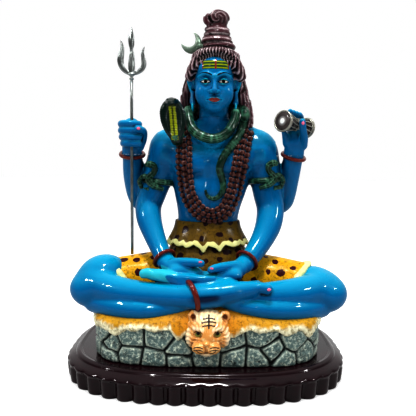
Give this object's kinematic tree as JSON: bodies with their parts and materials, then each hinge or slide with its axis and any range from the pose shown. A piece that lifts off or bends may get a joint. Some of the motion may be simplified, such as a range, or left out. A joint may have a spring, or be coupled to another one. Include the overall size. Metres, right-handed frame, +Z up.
{
  "type": "shiva figure",
  "caption": "Seated four-armed deity figure in lacquered blue, cross-legged on a tiger skin over a rock, with a trident and a reeded dark plinth.",
  "frame": {"origin": "centre of the plinth's underside, on the surface it stands on", "axes": "+Z up, the figure faces -Y, +X towards the figure's own left hand, which holds the drum"},
  "size_m": [0.1742, 0.1232, 0.2282],
  "materials": {
    "lacquered_resin": "gloss",
    "plinth_lacquer": "gloss",
    "trident_metal": "polished"
  },
  "bodies": {
    "root": {"plinth": "plinth_lacquer", "figure": "lacquered_resin", "trident": "trident_metal"}
  },
  "joints": []
}
